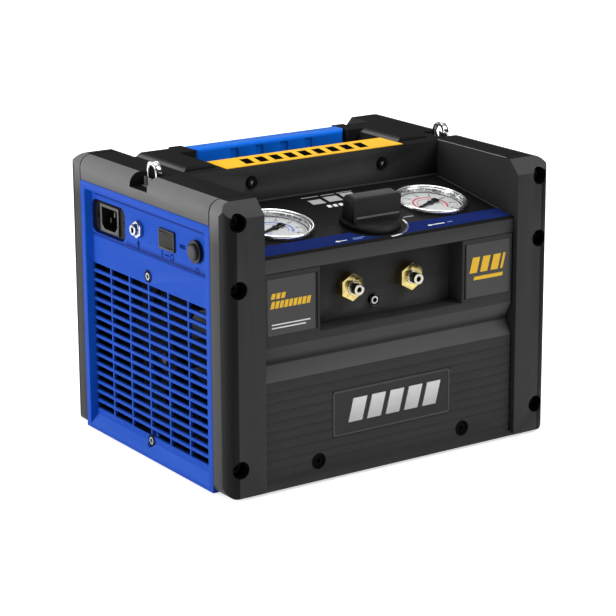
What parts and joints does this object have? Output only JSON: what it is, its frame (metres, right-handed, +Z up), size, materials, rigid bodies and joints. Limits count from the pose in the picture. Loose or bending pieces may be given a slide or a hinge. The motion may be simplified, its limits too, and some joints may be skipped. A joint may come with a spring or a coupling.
{
  "type": "refrigerant recovery machine",
  "caption": "Portable box-shaped refrigerant recovery machine with black end frames, blue vented sides, pressure gauges, selector knob, flare ports and a recessed carry handle.",
  "frame": {"origin": "centre of the bounding box on the plane of the feet", "axes": "+X to the right seen from the front, +Y to the back, +Z up"},
  "size_m": [0.38, 0.298, 0.297],
  "materials": {
    "frame_black": "fine moulded grain",
    "cover_black": "fine moulded grain",
    "console_black": "smooth satin overlay",
    "panel_blue": "fine moulded grain",
    "grip_blue": "soft satin",
    "deck_yellow": "printed plate",
    "badge_metal": "smooth satin",
    "label_black": "smooth satin",
    "port_brass": "machined",
    "valve_brass": "machined",
    "bezel_metal": "polished",
    "dial_white": "printed",
    "needle_black": "satin",
    "lens_clear": "clear",
    "knob_black": "fine moulded grain",
    "inlet_black": "smooth",
    "pin_metal": "plated",
    "plated": "polished",
    "zinc": "satin",
    "switch_black": "satin",
    "screw_black": "blackened",
    "screw_steel": "plain",
    "foot_rubber": "matte",
    "pan_steel": "powder coat",
    "fan_black": "moulded",
    "shaft_steel": "ground",
    "motor_metal": "painted",
    "cast_alloy": "cast",
    "coil_alloy": "plain",
    "copper": "drawn copper",
    "board_green": "lacquered",
    "cap_black": "smooth"
  },
  "bodies": {
    "machine": {"left_frame": "frame_black", "right_frame": "frame_black", "front_cover": "cover_black", "back_cover": "cover_black", "top_cover": "cover_black", "port_panel": "cover_black", "console": "console_black", "left_panel": "panel_blue", "right_panel": "panel_blue", "grip": "grip_blue", "deck_plate": "deck_yellow", "badge_plate": "badge_metal", "left_label": "label_black", "right_label": "label_black", "left_port": "port_brass", "right_port": "port_brass", "selector_valve": "valve_brass", "left_gauge_case": "bezel_metal", "right_gauge_case": "bezel_metal", "left_gauge_dial": "dial_white", "right_gauge_dial": "dial_white", "left_gauge_lens": "lens_clear", "right_gauge_lens": "lens_clear", "power_inlet": "inlet_black", "inlet_pins": "pin_metal", "side_fitting": "plated", "left_ring_base": "zinc", "right_ring_base": "zinc", "switch_frame": "switch_black", "button_ring": "switch_black", "frame_screws": "screw_black", "cover_screws": "screw_black", "panel_screws": "screw_steel", "feet": "foot_rubber", "base_pan": "pan_steel", "fan_shroud": "fan_black", "motor": "motor_metal", "motor_cradle": "motor_metal", "crankcase": "cast_alloy", "barrels": "cast_alloy", "heads": "cast_alloy", "manifold": "cast_alloy", "condenser": "coil_alloy", "suction_pipe": "copper", "discharge_pipe": "copper", "control_board": "board_green", "capacitor": "cap_black"},
    "rotor": {"fan": "fan_black", "motor_shaft": "shaft_steel"},
    "knob": {"knob": "knob_black"},
    "left_needle": {"left_gauge_needle": "needle_black"},
    "right_needle": {"right_gauge_needle": "needle_black"},
    "rocker": {"switch_rocker": "switch_black"},
    "button": {"reset_button": "switch_black"},
    "left_ring": {"left_ring": "plated"},
    "right_ring": {"right_ring": "plated"}
  },
  "joints": [
    {"name": "fan_spin", "type": "hinge", "parent": "machine", "child": "rotor", "pos_m": [-0.154, 0.002, 0.101], "axis": [1, 0, 0], "continuous": true},
    {"name": "knob_turn", "type": "hinge", "parent": "machine", "child": "knob", "pos_m": [0, -0.10647, 0.23493], "axis": [0, -0.156, 0.9878], "range_deg": [-90, 90]},
    {"name": "left_needle_turn", "type": "hinge", "parent": "machine", "child": "left_needle", "pos_m": [-0.092, -0.08078, 0.23899], "axis": [0, -0.156, 0.9878], "range_deg": [-247, 23]},
    {"name": "right_needle_turn", "type": "hinge", "parent": "machine", "child": "right_needle", "pos_m": [0.092, -0.08078, 0.23899], "axis": [0, -0.156, 0.9878], "range_deg": [-247, 23]},
    {"name": "rocker_tilt", "type": "hinge", "parent": "machine", "child": "rocker", "pos_m": [-0.177, -0.032, 0.229], "axis": [0, 0, 1], "range_deg": [-16, 0]},
    {"name": "button_press", "type": "slide", "parent": "machine", "child": "button", "axis": [1, 0, 0], "range_m": [0, 0.0025], "stiffness_N_per_m": 600},
    {"name": "left_ring_fold", "type": "hinge", "parent": "machine", "child": "left_ring", "pos_m": [-0.172, 0.0085, 0.2769], "axis": [0, 1, 0], "range_deg": [-75, 0]},
    {"name": "right_ring_fold", "type": "hinge", "parent": "machine", "child": "right_ring", "pos_m": [0.172, 0.0085, 0.2769], "axis": [0, 1, 0], "range_deg": [0, 75]}
  ]
}
